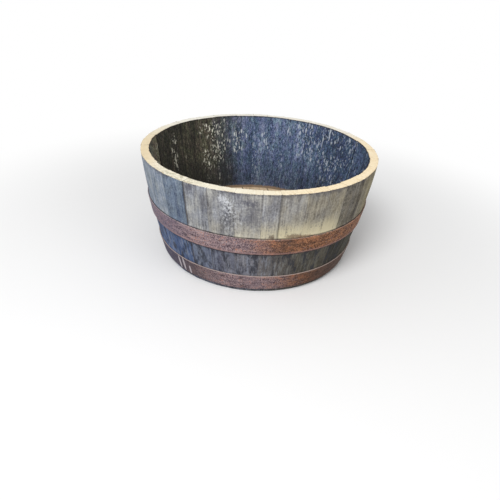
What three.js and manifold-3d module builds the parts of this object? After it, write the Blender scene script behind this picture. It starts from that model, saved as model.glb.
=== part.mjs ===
// A tub planter: the end third of an oak whiskey barrel, sawn off square.
//
// Thirty bent and tapered staves stand edge to edge in a ring.  Two riveted steel hoops,
// driven on from the narrow end, squeeze the ring shut.  Near its lower end every stave
// has a groove, the croze, and together they grip the rim of a round head, which is made
// of dowelled boards and is the tub's floor.
//
// Millimetres, +Z up.  The origin is the centre of the circle that the staves stand on.
// Angles run anticlockwise from the front, which faces -Y.

import * as THREE from 'three';
import { mergeVertices } from 'three/addons/utils/BufferGeometryUtils.js';
import Module from 'manifold-3d';

const wasm = await Module();
wasm.setup();

// ---------------------------------------------------------------- driving dimensions

// The whole barrel that the tub was sawn from
const bilgeRadius = 330; // outside of the staves where the barrel was widest
const chimeRadius = 273; // outside of the staves at their ends
const bilgeHeight = 440; // from the stave ends up to the widest place
const height = 300; // from the stave ends up to the saw cut

// Staves
const staveThickness = 25;
const thicknessStray = 1.1; // how far one stave's thickness strays from that
const jointGap = 0.3;
const firstJoint = -80.3; // degrees; the joint in front of the first stave in the list
// Widths at the saw cut, in order.  They are scaled together to close the ring.
const staveWidths = [
  71, 70, 65, 72, 63, 65, 63, 41, 62, 55, 53, 75, 83, 71, 72,
  81, 78, 88, 69, 76, 78, 50, 61, 81, 72, 76, 63, 84, 47, 52,
];

// The end of each stave: the chime, bevelled inside; the howel, a shallow hollow that
// makes the uneven staves one smooth wall; and the croze, a groove in that wall
const chimeThickness = 13; // what the bevel leaves at the very end
const chimeBevelHeight = 17;
const howelDepth = 3;
const howelHeight = 92;
const crozeHeight = 47; // from the stave ends to the middle of the groove
const crozeWidth = 6;
const crozeDepth = 5;

// Head
const headThickness = 24;
const outerBevel = 16; // how far the bevel under the head reaches in from its tongue
const innerBevel = 5; // the same on the face inside the tub
const headFit = 0.3; // clearance of the head's tongue in the croze
const headTurn = 14; // degrees from front to back to the run of the boards
const boardWidths = [84, 92, 104, 88, 96, 78]; // scaled together to fill the croze

const dowelRadius = 5;
const dowelLength = 50;
const dowelFit = 0.3;
const dowelSpacing = 250; // between the two dowels of a joint, or less in a short joint
const shortJointShare = 0.55; // the share of its length that a short joint's dowels span

const drainRadius = 25;
const drainBoard = 2; // which board it is bored through, the first being board 0
const drainAlong = -70; // from the middle of the board towards the front

// Hoops, each a steel strip rolled to the taper of the staves and riveted where it laps
const hoopThickness = 2.2;
const hoopFit = 0.3; // clearance of a hoop round the staves
const lapLength = 62;
const joggleLength = 24; // over which the outer end climbs onto the inner one
const lapGap = 0.3;
const clippedCorner = 8; // what the shears take off the width at each corner of a strip
const quarterHoop = { name: 'quarter_hoop', bottom: 134.5, width: 46, lapAt: 196 };
const headHoop = { name: 'head_hoop', bottom: 12, width: 47.5, lapAt: 171 };

const rivetsPerLap = 2;
const rivetSpacing = 28;
const shankRadius = 3.2;
const rivetHeadRadius = 7;
const rivetHeadHeight = 2.8;
const rivetFit = 0.3;

// Fineness of the round stretches
const staveFacets = 3;
const outsideSteps = 6;
const insideSteps = 4;
const howelSteps = 3;
const headFacets = 72;
const hoopFacets = 90;
const boreFacets = 32;
const dowelFacets = 14;
const shankFacets = 12;

// Colours
const weatheredOak = [0x8a867c, 0x7e8083, 0x938b79];
const floorOak = 0x5d5142;
const dowelOak = 0xb08f62;
const rustySteel = 0x74544a;

// ---------------------------------------------------------------- form of the barrel

const radians = THREE.MathUtils.degToRad;

// The outside of a stave is an arc that is upright at the bilge and meets the chime
const bulge = bilgeRadius - chimeRadius;
const arcRadius = (bilgeHeight ** 2 + bulge ** 2) / (2 * bulge);

function outsideAt(z) {
  return bilgeRadius - arcRadius + Math.sqrt(arcRadius ** 2 - (bilgeHeight - z) ** 2);
}

function howelAt(z) {
  return outsideAt(z) - staveThickness + howelDepth;
}

const crozeRadius = howelAt(crozeHeight) + crozeDepth;

// How far the middle of each flat of a ring lies inside the circle through its corners
function sagitta(radius, facets) {
  return radius * (1 - Math.cos(Math.PI / facets));
}

// ---------------------------------------------------------------- solids and cuts

// A closed mesh whose faces share their corners
function weld(geometry) {
  const bare = new THREE.BufferGeometry();
  bare.setAttribute('position', geometry.getAttribute('position'));
  bare.setIndex(geometry.getIndex());
  const welded = mergeVertices(bare, 1e-4);
  const corners = welded.getIndex().array;
  const faces = [];
  for (let i = 0; i < corners.length; i += 3) {
    const [a, b, c] = corners.slice(i, i + 3);
    if (a !== b && b !== c && c !== a) faces.push(a, b, c);
  }
  return welded.setIndex(faces);
}

function toSolid(geometry) {
  const closed = weld(geometry);
  const vertProperties = new Float32Array(closed.getAttribute('position').array);
  const triVerts = new Uint32Array(closed.getIndex().array);
  return new wasm.Manifold(new wasm.Mesh({ numProp: 3, vertProperties, triVerts }));
}

function toGeometry(solid) {
  const { vertProperties, triVerts } = solid.getMesh();
  const geometry = new THREE.BufferGeometry();
  geometry.setAttribute('position', new THREE.BufferAttribute(vertProperties, 3));
  geometry.setIndex(new THREE.BufferAttribute(triVerts, 1));
  return geometry;
}

function piece(name, geometry, color, roughness = 0.9, metalness = 0) {
  geometry.computeVertexNormals();
  const material = new THREE.MeshStandardMaterial({ color, roughness, metalness });
  const mesh = new THREE.Mesh(geometry, material);
  mesh.name = name;
  return mesh;
}

function numbered(name, index) {
  return `${name}_${String(index + 1).padStart(2, '0')}`;
}

// The edges between strips of the given widths, scaled so that they fill a length
function edgesOf(widths, start, length) {
  const total = widths.reduce((sum, width) => sum + width, 0);
  const edges = [start];
  for (const width of widths) edges.push(edges.at(-1) + (width / total) * length);
  return edges;
}

// ---------------------------------------------------------------- staves

// The section along a stave, anticlockwise: up the outside, across the saw cut, and down
// the inside through the howel and the croze to the chime
function staveSection(thickness) {
  const points = [];
  const add = (radius, z) => points.push(new THREE.Vector2(radius, z));
  for (let i = 0; i <= outsideSteps; i++) {
    const z = (height * i) / outsideSteps;
    add(outsideAt(z), z);
  }
  for (let i = 0; i < insideSteps; i++) {
    const z = THREE.MathUtils.lerp(height, howelHeight, i / insideSteps);
    add(outsideAt(z) - thickness, z);
  }
  const grooveTop = crozeHeight + crozeWidth / 2;
  const grooveBottom = crozeHeight - crozeWidth / 2;
  for (let i = 0; i <= howelSteps; i++) {
    const share = i / howelSteps;
    const z = THREE.MathUtils.lerp(howelHeight, grooveTop, share);
    const hollowed = Math.sin((share * Math.PI) / 2);
    add(THREE.MathUtils.lerp(outsideAt(z) - thickness, howelAt(z), hollowed), z);
  }
  add(crozeRadius, grooveTop);
  add(crozeRadius, grooveBottom);
  add(howelAt(grooveBottom), grooveBottom);
  add(howelAt(chimeBevelHeight), chimeBevelHeight);
  add(chimeRadius - chimeThickness, 0);
  return points;
}

// A section swept round the axis, to equal angles on both sides of the front, with flat
// radial ends
function wedge(section, angle) {
  const ring = [...section, section[0]];
  const lathe = new THREE.LatheGeometry(ring, staveFacets, -angle / 2, angle);
  const faces = [...lathe.getIndex().array];
  const lastRing = staveFacets * ring.length;
  for (const [a, b, c] of THREE.ShapeUtils.triangulateShape(section, [])) {
    faces.push(a, b, c);
    faces.push(lastRing + a, lastRing + c, lastRing + b);
  }
  lathe.setIndex(faces);
  return weld(lathe.rotateX(Math.PI / 2));
}

function staves() {
  const group = new THREE.Group();
  const joints = edgesOf(staveWidths, radians(firstJoint), 2 * Math.PI);
  const jointAngle = jointGap / chimeRadius;
  for (let i = 0; i < staveWidths.length; i++) {
    const thickness = staveThickness + thicknessStray * Math.sin(2.4 * i);
    const angle = joints[i + 1] - joints[i] - jointAngle;
    const color = weatheredOak[i % weatheredOak.length];
    const stave = piece(numbered('stave', i), wedge(staveSection(thickness), angle), color);
    stave.rotation.z = (joints[i] + joints[i + 1]) / 2;
    group.add(stave);
  }
  return group;
}

// ---------------------------------------------------------------- head

// The tongue's corners are let into the croze; the staves' flats stand further in than
// the circle of the croze, by the sagitta of the widest one
const widestStave = Math.max(...staveWidths) / staveWidths.reduce((sum, width) => sum + width);
const flatsOfCroze = staveFacets / widestStave;
const headRadius = crozeRadius - sagitta(crozeRadius, flatsOfCroze) - headFit;
const tongueThickness = crozeWidth - 2 * headFit;
const tongueRadius = headRadius - crozeDepth;
const boardEdges = edgesOf(boardWidths, -headRadius, 2 * headRadius);

function headBlank() {
  const section = [
    [0, -headThickness / 2],
    [tongueRadius - outerBevel, -headThickness / 2],
    [tongueRadius, -tongueThickness / 2],
    [headRadius, -tongueThickness / 2],
    [headRadius, tongueThickness / 2],
    [tongueRadius, tongueThickness / 2],
    [tongueRadius - innerBevel, headThickness / 2],
    [0, headThickness / 2],
  ];
  const points = section.map(([radius, z]) => new THREE.Vector2(radius, z));
  return toSolid(new THREE.LatheGeometry(points, headFacets).rotateX(Math.PI / 2));
}

// Where the dowels cross the joint at x, from front to back
function dowelPlaces(x) {
  const jointLength = 2 * Math.sqrt(headRadius ** 2 - x ** 2);
  const spacing = Math.min(dowelSpacing, shortJointShare * jointLength);
  return [-spacing / 2, spacing / 2];
}

// A round bar along X with its middle at (x, y)
function crossBar(radius, length, facets, x, y) {
  const bar = new THREE.CylinderGeometry(radius, radius, length, facets);
  return bar.rotateZ(Math.PI / 2).translate(x, y, 0);
}

function head() {
  const group = new THREE.Group();
  const blank = headBlank();
  for (let i = 0; i < boardWidths.length; i++) {
    const left = boardEdges[i] + jointGap / 2;
    const right = boardEdges[i + 1] - jointGap / 2;
    const slab = new THREE.BoxGeometry(right - left, 2 * headRadius + 2, headThickness + 2);
    let board = blank.intersect(toSolid(slab.translate((left + right) / 2, 0, 0)));
    for (const x of [boardEdges[i], boardEdges[i + 1]]) {
      for (const y of dowelPlaces(x)) {
        const radius = dowelRadius + dowelFit;
        const bore = crossBar(radius, dowelLength + 2 * dowelFit, dowelFacets, x, y);
        board = board.subtract(toSolid(bore));
      }
    }
    if (i === drainBoard) {
      const bore = new THREE.CylinderGeometry(
        drainRadius, drainRadius, headThickness + 2, boreFacets);
      bore.rotateX(Math.PI / 2).translate((left + right) / 2, drainAlong, 0);
      board = board.subtract(toSolid(bore));
    }
    group.add(piece(numbered('head_board', i), toGeometry(board), floorOak));
  }
  const joints = boardEdges.slice(1, -1);
  joints.forEach((x, joint) => {
    dowelPlaces(x).forEach((y, side) => {
      const dowel = crossBar(dowelRadius, dowelLength, dowelFacets, x, y);
      const name = `dowel_${joint + 1}_${side === 0 ? 'front' : 'back'}`;
      group.add(piece(name, weld(dowel), dowelOak));
    });
  });
  group.position.z = crozeHeight;
  group.rotation.z = radians(headTurn);
  return group;
}

// ---------------------------------------------------------------- hoops and rivets

// The cone that a hoop's inner face lies on.  It clears the staves' outward curve between
// the hoop's edges, and its flats clear the staves' corners.
function coneOf(hoop) {
  const swell = hoop.width ** 2 / (8 * arcRadius);
  const clearance = hoopFit + swell + sagitta(bilgeRadius, hoopFacets);
  const bottom = outsideAt(hoop.bottom) + clearance;
  const top = outsideAt(hoop.bottom + hoop.width) + clearance;
  return { bottom, top, middle: (bottom + top) / 2 };
}

// A flat strip with clipped corners, bent round until its outer end overlaps its inner
// end.  The inner end is at the front, and the lap reaches from there anticlockwise.
function rolledStrip(hoop) {
  const cone = coneOf(hoop);
  const lapAngle = lapLength / cone.middle;
  const joggleAngle = joggleLength / cone.middle;
  const sweep = 2 * Math.PI + lapAngle;
  const facets = Math.ceil((hoopFacets * sweep) / (2 * Math.PI));
  const strip = new THREE.BoxGeometry(sweep, hoop.width, hoopThickness, facets, 1, 1);
  const corners = strip.getAttribute('position');
  for (let i = 0; i < corners.count; i++) {
    const angle = corners.getX(i) + sweep / 2;
    const atEnd = Math.abs(corners.getX(i)) > sweep / 2 - 1e-6;
    const width = atEnd ? hoop.width - 2 * clippedCorner : hoop.width;
    const up = 0.5 + (corners.getY(i) * width) / hoop.width ** 2;
    const climb = THREE.MathUtils.smoothstep(angle, 2 * Math.PI - joggleAngle, 2 * Math.PI);
    const lift = climb * (hoopThickness + lapGap) + hoopThickness / 2 + corners.getZ(i);
    const radius = THREE.MathUtils.lerp(cone.bottom, cone.top, up) + lift;
    const z = hoop.bottom + up * hoop.width;
    corners.setXYZ(i, radius * Math.sin(angle), -radius * Math.cos(angle), z);
  }
  return toSolid(strip);
}

// Stands something made along +Y square to the hoop, outwards, over the lap's middle
function placeOnLap(object, hoop, along) {
  const cone = coneOf(hoop);
  const angle = lapLength / 2 / cone.middle + along / cone.middle;
  const lean = Math.atan2(cone.bottom - cone.top, hoop.width);
  const face = cone.middle + 2 * hoopThickness + lapGap;
  object.position.set(
    face * Math.sin(angle), -face * Math.cos(angle), hoop.bottom + hoop.width / 2);
  object.rotation.set(lean, 0, angle + Math.PI, 'ZYX');
  object.updateMatrix();
  return object;
}

// The rivets' places along the lap, counted from its middle
function rivetPlaces() {
  const places = [];
  for (let i = 0; i < rivetsPerLap; i++) {
    places.push((i - (rivetsPerLap - 1) / 2) * rivetSpacing);
  }
  return places;
}

// A domed head on a shank that ends level with the inner face of the lap
function rivetGeometry() {
  const gripped = 2 * hoopThickness + lapGap;
  const points = [
    [0, -gripped],
    [shankRadius, -gripped],
    [shankRadius, rivetFit],
    [rivetHeadRadius, rivetFit],
    [rivetHeadRadius * 0.86, rivetFit + rivetHeadHeight * 0.5],
    [rivetHeadRadius * 0.5, rivetFit + rivetHeadHeight * 0.88],
    [0, rivetFit + rivetHeadHeight],
  ];
  const profile = points.map(([radius, y]) => new THREE.Vector2(radius, y));
  return weld(new THREE.LatheGeometry(profile, shankFacets));
}

function rivetedHoop(hoop) {
  const group = new THREE.Group();
  let strip = rolledStrip(hoop);
  rivetPlaces().forEach((along, i) => {
    const rivet = piece(numbered(`${hoop.name}_rivet`, i), rivetGeometry(), rustySteel, 0.7, 0.6);
    placeOnLap(rivet, hoop, along);
    group.add(rivet);
    const reach = 6 * hoopThickness;
    const holeRadius = shankRadius + rivetFit;
    const hole = new THREE.CylinderGeometry(holeRadius, holeRadius, 2 * reach, shankFacets);
    strip = strip.subtract(toSolid(hole.applyMatrix4(rivet.matrix)));
  });
  group.add(piece(hoop.name, toGeometry(strip), rustySteel, 0.7, 0.6));
  group.rotation.z = radians(hoop.lapAt);
  return group;
}

// ---------------------------------------------------------------- the tub

const tub = new THREE.Group();
tub.add(staves());
tub.add(head());
tub.add(rivetedHoop(quarterHoop));
tub.add(rivetedHoop(headHoop));

export default tub;
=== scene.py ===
# %% [markdown]
# # A tub planter sawn from a whiskey barrel
#
# Thirty bent oak staves stand in a ring, two steel hoops squeeze them together, and a round
# head of dowelled boards sits in a groove near their lower ends. The structure is already
# packed as a fixed frame, in metres, so this lesson never moves anything: it reads sizes
# from the frame and gives each plain solid its worn, sawn, rusted or charred surface.

# %% Load the frame
import math
import random

import bmesh
import bpy
from mathutils import Matrix, Vector, noise


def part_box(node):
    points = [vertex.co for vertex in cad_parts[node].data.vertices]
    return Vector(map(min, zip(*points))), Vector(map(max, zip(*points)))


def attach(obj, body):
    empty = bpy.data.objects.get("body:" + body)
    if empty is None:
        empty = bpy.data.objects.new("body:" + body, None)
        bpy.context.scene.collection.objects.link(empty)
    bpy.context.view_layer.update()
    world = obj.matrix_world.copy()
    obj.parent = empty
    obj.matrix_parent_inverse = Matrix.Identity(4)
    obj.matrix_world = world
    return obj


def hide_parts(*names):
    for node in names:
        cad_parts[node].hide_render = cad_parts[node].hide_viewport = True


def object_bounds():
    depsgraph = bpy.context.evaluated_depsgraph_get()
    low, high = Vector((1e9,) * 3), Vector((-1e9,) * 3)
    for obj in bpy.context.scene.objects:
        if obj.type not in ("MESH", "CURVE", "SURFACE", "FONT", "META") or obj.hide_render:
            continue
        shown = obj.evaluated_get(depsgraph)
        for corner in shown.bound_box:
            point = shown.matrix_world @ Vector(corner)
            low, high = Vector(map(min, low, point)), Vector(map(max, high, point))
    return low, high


# Without a seed, noise_vector starts somewhere else in every run
noise.seed_set(1)
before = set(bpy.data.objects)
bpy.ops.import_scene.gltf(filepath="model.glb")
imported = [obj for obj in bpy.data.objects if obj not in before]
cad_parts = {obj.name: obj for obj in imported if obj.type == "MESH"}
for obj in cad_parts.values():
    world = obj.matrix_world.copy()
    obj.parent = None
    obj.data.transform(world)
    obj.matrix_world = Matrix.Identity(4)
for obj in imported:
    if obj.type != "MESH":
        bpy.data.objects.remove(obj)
cad_low, cad_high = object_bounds()
print("frame:", len(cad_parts), "nodes,", [round(side, 4) for side in cad_high - cad_low])

# %% [markdown]
# ## The camera
#
# The photograph was matched beforehand by fitting a camera to the tub's rims and hoops. Its
# place and tilt are plain numbers. Building the matrix from three directions, right, up and
# back, is safer than Euler angles here, because the camera also leans a little sideways.

# %% Camera
FOCAL_PIXELS = 423.14
IMAGE_PIXELS = 500
SENSOR = 36.0
CAMERA_PLACE = Vector((0.0, -1.14916, 0.68278))
PAN, TILT, ROLL = (math.radians(angle) for angle in (-0.538, 32.41, 3.155))


def photo_camera():
    """The camera that took the photograph."""
    ahead = Vector((
        math.sin(PAN) * math.cos(TILT), math.cos(PAN) * math.cos(TILT), -math.sin(TILT)))
    level = Vector((math.cos(PAN), -math.sin(PAN), 0))
    upright = level.cross(ahead)
    right = level * math.cos(ROLL) + upright * math.sin(ROLL)
    up = upright * math.cos(ROLL) - level * math.sin(ROLL)
    data = bpy.data.cameras.new("photo_camera")
    data.sensor_width = SENSOR
    data.lens = FOCAL_PIXELS * SENSOR / IMAGE_PIXELS
    camera = bpy.data.objects.new("photo_camera", data)
    turned = Matrix((right, up, -ahead)).transposed().to_4x4()
    camera.matrix_world = Matrix.Translation(CAMERA_PLACE) @ turned
    bpy.context.scene.collection.objects.link(camera)
    return camera


bpy.context.scene.camera = photo_camera()
bpy.context.scene.view_settings.view_transform = "Standard"
print("lens:", round(bpy.context.scene.camera.data.lens, 3), "mm")

# %% [markdown]
# ## Finishes are small graphs
#
# Every finish below is a node graph. Wiring nodes by hand fills a page with boilerplate, so
# one small class adds a node and returns its output, and a finish then reads like a recipe:
# noises are stacked into a level, a level picks a shade, and coats of other colours go on top.
# Colours are written as they look on screen, 0 to 255, and turned into the linear values
# that a shader works in.

# %% A recipe book for node graphs
def tint(red, green, blue):
    """A screen colour, 0 to 255, as the linear colour that a shader takes."""
    linear = []
    for part in (red, green, blue):
        part /= 255
        linear.append(part / 12.92 if part <= 0.04045 else ((part + 0.055) / 1.055) ** 2.4)
    return (*linear, 1.0)


class Graph:
    """The nodes of a world or a material. Each method adds nodes and returns an output."""

    def __init__(self, owner):
        owner.use_nodes = True
        self.nodes = owner.node_tree.nodes
        self.links = owner.node_tree.links

    def feed(self, socket, value):
        """Links an output to a socket, or sets a plain value on it."""
        if isinstance(value, bpy.types.NodeSocket):
            self.links.new(value, socket)
        else:
            socket.default_value = value

    def add(self, kind, *inputs, **settings):
        node = self.nodes.new("ShaderNode" + kind)
        for name, value in settings.items():
            setattr(node, name, value)
        for socket, value in zip(node.inputs, inputs):
            self.feed(socket, value)
        return node

    def math(self, operation, *inputs):
        return self.add("Math", *inputs, operation=operation).outputs[0]

    def times(self, *values):
        """The product of outputs and plain numbers."""
        product = values[0]
        for value in values[1:]:
            product = self.math("MULTIPLY", product, value)
        return product

    def plus(self, base, value, amount):
        """The base and so much of the value."""
        return self.math("MULTIPLY_ADD", value, amount, base)

    def stacked(self, level, *layers):
        """A level with layers of noise on it, each (noise, amount), that go up and down."""
        for layer, amount in layers:
            level = self.plus(level, self.math("SUBTRACT", layer, 0.5), amount)
        return level

    def ease(self, value, low, high, start=0.0, end=1.0):
        """Goes smoothly from start to end as the value goes from low to high."""
        ranged = self.add("MapRange", value, low, high, start, end)
        ranged.interpolation_type = "SMOOTHSTEP"
        return ranged.outputs[0]

    def mix(self, share, first, second, blend="MIX"):
        node = self.add("Mix", share, data_type="RGBA", blend_type=blend)
        self.feed(node.inputs[6], first)
        self.feed(node.inputs[7], second)
        return node.outputs[2]

    def coat(self, color, over, *shares):
        """Covers a colour with a screen colour, as far as the product of the shares."""
        return self.mix(self.times(*shares), color, tint(*over))

    def cast(self, color, filtered, share=1.0):
        """Looks at a colour through a filter."""
        return self.mix(share, color, filtered, "MULTIPLY")

    def ramp(self, value, *stops):
        """Colours along a value. Each stop is (place, colour)."""
        node = self.add("ValToRGB", value)
        elements = node.color_ramp.elements
        while len(elements) < len(stops):
            elements.new(0.5)
        for element, (place, color) in zip(elements, stops):
            element.position = place
            element.color = color
        return node.outputs[0]

    def shades(self, value, dark, middle, pale):
        """Three screen colours along a value from 0 to 1."""
        return self.ramp(value, (0.0, tint(*dark)), (0.5, tint(*middle)), (1.0, tint(*pale)))

    def length(self, *sides):
        squares = [self.math("MULTIPLY", side, side) for side in sides]
        return self.math("SQRT", self.math("ADD", *squares))

    def noise(self, place, detail=3.0, roughness=0.5):
        node = self.add("TexNoise", place)
        for name, value in (("Scale", 1.0), ("Detail", detail), ("Roughness", roughness)):
            node.inputs[name].default_value = value
        return node.outputs[0]

    def flecks(self, place, rare, size):
        """1 on scattered flecks. Rare and size are the ends of two eases."""
        cells = self.add("TexVoronoi", place)
        cells.inputs["Scale"].default_value = 1.0
        draw = self.add("SeparateColor", cells.outputs["Color"]).outputs[0]
        return self.times(self.ease(cells.outputs["Distance"], *size), self.ease(draw, *rare))


print("a mid grey on screen is", round(tint(128, 128, 128)[0], 3), "in a shader")

# %% [markdown]
# A finish of this tub also knows where on the tub it is. It measures the turn round the tub,
# and it lays its noises along the staves, so that grain never runs across a joint.

# %% A finish of the tub
RIM_RADIUS = max(cad_high.x, cad_high.y)


class Finish(Graph):
    """A material being made, with the place on the tub as x, y and z."""

    def __init__(self, name):
        self.material = bpy.data.materials.new(name)
        super().__init__(self.material)
        self.shader = self.nodes["Principled BSDF"]
        place = self.add("SeparateXYZ", self.add("TexCoord").outputs["Object"]).outputs
        self.x, self.y, self.z = place
        self.tone = self.painted("tone")

    def painted(self, name):
        """A number that the modelling stored on the surface."""
        return self.add("Attribute", attribute_name=name).outputs["Fac"]

    def radius(self):
        return self.length(self.x, self.y)

    def turn(self):
        """Degrees round the tub, anticlockwise from the front."""
        back = self.times(self.y, -1.0)
        return self.math("DEGREES", self.math("ARCTAN2", self.x, back))

    def on_barrel(self, around, along=0.0, through=0.0, shuffle=17.0):
        """Places for a texture that follows the staves, in cells to the metre each way.

        A stave leans in, so plain coordinates would cut across its grain. Here each point is
        first brought to one circle, and all points of a meridian share its place on it.
        """
        flat = self.add("CombineXYZ", self.x, self.y, 0.0).outputs[0]
        unit = self.add("VectorMath", flat, operation="NORMALIZE").outputs[0]
        ring = self.add("VectorMath", unit, operation="SCALE")
        self.feed(ring.inputs["Scale"], around * RIM_RADIUS)
        rise = self.plus(self.times(self.tone, shuffle), self.z, along)
        if through:
            rise = self.plus(rise, self.radius(), through)
        lift = self.add("CombineXYZ", 0.0, 0.0, rise).outputs[0]
        return self.add("VectorMath", ring.outputs[0], lift, operation="ADD").outputs[0]

    def grain(self, cells, detail, roughness, shuffle=17.0):
        """Noise on the staves, with (around, along, through) cells to the metre."""
        return self.noise(self.on_barrel(*cells, shuffle=shuffle), detail, roughness)

    def spot(self, turn, height, half_turn, half_height, ragged, soft=0.5):
        """1 inside an oval patch of the outside, ragged at its edge. Degrees and metres."""
        across = self.math("DIVIDE", self.math("SUBTRACT", self.turn(), turn), half_turn)
        up = self.math("DIVIDE", self.math("SUBTRACT", self.z, height), half_height)
        away = self.stacked(self.length(across, up), (ragged, 1.0))
        return self.ease(away, 1.0 - soft, 1.0 + soft, 1.0, 0.0)

    def finish(self, color, roughness, height=None, depth=0.001):
        """Wires the shader up. Depth is how far, in metres, the height reaches."""
        self.feed(self.shader.inputs["Base Color"], color)
        self.feed(self.shader.inputs["Roughness"], roughness)
        if height is not None:
            bump = self.add("Bump")
            bump.inputs["Distance"].default_value = depth
            self.feed(bump.inputs["Height"], height)
            self.feed(self.shader.inputs["Normal"], bump.outputs[0])
        return self.material


# %% [markdown]
# ## A plain studio
#
# The floor is white and only keeps the tub's shadow. Seen by the camera, floor and world
# are as bright as the page of a catalogue; the light that they throw on the tub is much
# weaker, so that it doesn't fill the shaded side from below. A broad lamp high at the front
# left is the main light.

# %% Floor and world
FLOOR_SIZE = 60.0
SHADOW_ZONE = (0.5, 1.3)
AMBIENT = 0.52


def white_to_the_eye(graph):
    """1 where the camera, a reflection or a clear piece looks, 0 for light that it throws."""
    path = graph.add("LightPath").outputs
    seen = graph.math("MAXIMUM", path["Is Camera Ray"], path["Is Glossy Ray"])
    return graph.math("MAXIMUM", seen, path["Is Transmission Ray"])


def studio_floor():
    shape = bmesh.new()
    bmesh.ops.create_grid(shape, x_segments=1, y_segments=1, size=FLOOR_SIZE / 2)
    mesh = bpy.data.meshes.new("studio_floor")
    shape.to_mesh(mesh)
    shape.free()
    floor = bpy.data.objects.new("studio_floor", mesh)
    bpy.context.scene.collection.objects.link(floor)
    paper = Finish("studio_paper")
    eye = white_to_the_eye(paper)
    color = paper.mix(eye, tint(150, 150, 152), tint(246, 246, 246))
    paper.finish(color, 1.0)
    paper.shader.inputs["Specular IOR Level"].default_value = 0.0
    glow = paper.add("Emission")
    far = paper.ease(paper.radius(), *SHADOW_ZONE)
    blend = paper.add("MixShader", paper.times(far, eye))
    paper.feed(blend.inputs[1], paper.shader.outputs[0])
    paper.feed(blend.inputs[2], glow.outputs[0])
    paper.feed(paper.nodes["Material Output"].inputs[0], blend.outputs[0])
    mesh.materials.append(paper.material)
    return floor


def studio_world():
    world = bpy.data.worlds.new("studio_world")
    bpy.context.scene.world = world
    sky = Graph(world)
    light = sky.add("MapRange", white_to_the_eye(sky), 0.0, 1.0, AMBIENT, 1.0)
    sky.feed(sky.nodes["Background"].inputs["Color"], (1, 1, 1, 1))
    sky.feed(sky.nodes["Background"].inputs["Strength"], light.outputs[0])


studio_floor()
studio_world()
print("studio: ambient light", AMBIENT)

# %% Lamps
def soft_lamp(name, place, watts, size, aim=(0, 0, 0.2)):
    data = bpy.data.lights.new(name, "AREA")
    data.shape = "DISK"
    data.size = size
    data.energy = watts
    lamp = bpy.data.objects.new(name, data)
    lamp.location = place
    lamp.rotation_euler = (Vector(aim) - Vector(place)).to_track_quat("-Z", "Y").to_euler()
    bpy.context.scene.collection.objects.link(lamp)
    print("lamp:", name, watts, "W")
    return lamp


soft_lamp("key_lamp", (-0.75, -1.9, 2.5), 58, 1.4)
soft_lamp("fill_lamp", (1.8, -1.6, 1.6), 6, 1.6)

# %% [markdown]
# ## What the frame says about a stave
#
# A stave is a board that is bent into a shallow arc and whose edges are planed to point at
# the barrel's axis. The frame's own solids give all of that: the angles of the two joints
# beside a stave, the radius of its outside at each level, and its thickness. Three radii fix
# the arc of the outside.

# %% Measure the staves
def turn_of(point):
    """The angle of a point round the axis, anticlockwise from the front."""
    return math.atan2(point.x, -point.y)


def outward(angle):
    return Vector((math.sin(angle), -math.cos(angle), 0))


def at(angle, radius, height):
    return outward(angle) * radius + Vector((0, 0, height))


class StaveMeasure:
    """One stave of the frame: the angles of its joints, its height and its thickness."""

    def __init__(self, name):
        self.name = name
        corners = [vertex.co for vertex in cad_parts[name].data.vertices]
        middle = turn_of(sum(corners, Vector()) / len(corners))
        turned = Matrix.Rotation(-middle, 3, "Z")
        turns = [turn_of(turned @ corner) for corner in corners]
        self.start = middle + min(turns)
        self.end = middle + max(turns)
        self.height = max(corner.z for corner in corners)
        rim = [corner.xy.length for corner in corners if corner.z > self.height - 1e-4]
        self.thickness = max(rim) - min(rim)
        self.middle = middle

    def offset(self, angle):
        """How far an angle is from the stave's middle."""
        return (angle - self.middle + math.pi) % (2 * math.pi) - math.pi


staves = [StaveMeasure(name) for name in sorted(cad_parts) if name.startswith("stave")]
HEIGHT = staves[0].height
THICKNESS = sum(stave.thickness for stave in staves) / len(staves)


def outside_radii():
    """The outside radius at each level where the frame has corners."""
    radii = {}
    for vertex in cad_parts[staves[0].name].data.vertices:
        level = round(vertex.co.z, 4)
        radii[level] = max(radii.get(level, 0), vertex.co.xy.length)
    return radii


def arc_through(radii):
    """Centre and radius, in the section plane, of the outside's arc."""
    heights = [0.0, round(HEIGHT / 2, 4), round(HEIGHT, 4)]
    (r0, z0), (r1, z1), (r2, z2) = [(radii[height], height) for height in heights]
    a, b, c = r1 - r0, z1 - z0, (r1**2 - r0**2 + z1**2 - z0**2) / 2
    d, e, f = r2 - r0, z2 - z0, (r2**2 - r0**2 + z2**2 - z0**2) / 2
    across = (c * e - b * f) / (a * e - b * d)
    level = (a * f - c * d) / (a * e - b * d)
    return across, level, math.hypot(r0 - across, z0 - level)


ARC_CENTRE, BILGE, ARC_RADIUS = arc_through(outside_radii())


def outside_at(height):
    return ARC_CENTRE + math.sqrt(ARC_RADIUS**2 - (height - BILGE) ** 2)


print("staves:", len(staves), "rim radius", round(outside_at(HEIGHT), 4), "m")

# %% [markdown]
# ## The staves
#
# The section along a stave is drawn once as a closed outline and swept from one joint to the
# other with `bmesh.ops.spin`, in steps about as fine as the grain. The long arrises and the
# saw cut's edges are bevelled, because a sharp edge catches no light. What is left is wear:
# wood that weathered away outside, and the blistered, cracked surface that fire left inside.
# Both are vertex moves, always into the wood, so the tub keeps its size.

# %% The outline of a stave
GRAIN_STEP = 0.0019
SECTION_STEP = 0.0024
CHIME_THICKNESS = 0.013
CHIME_BEVEL = 0.017
HOWEL_DEPTH = 0.003
HOWEL_TOP = 0.092
CROZE = (0.044, 0.050)
CROZE_DEPTH = 0.005


def levels(start, end, step):
    """Evenly spaced numbers from start up to, but without, end."""
    count = max(1, round(abs(end - start) / step))
    return [start + (end - start) * i / count for i in range(count)]


def cut_inside(height):
    """Radius inside the howel, the hollow that is planed above the chime."""
    return outside_at(height) - THICKNESS + HOWEL_DEPTH


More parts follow.
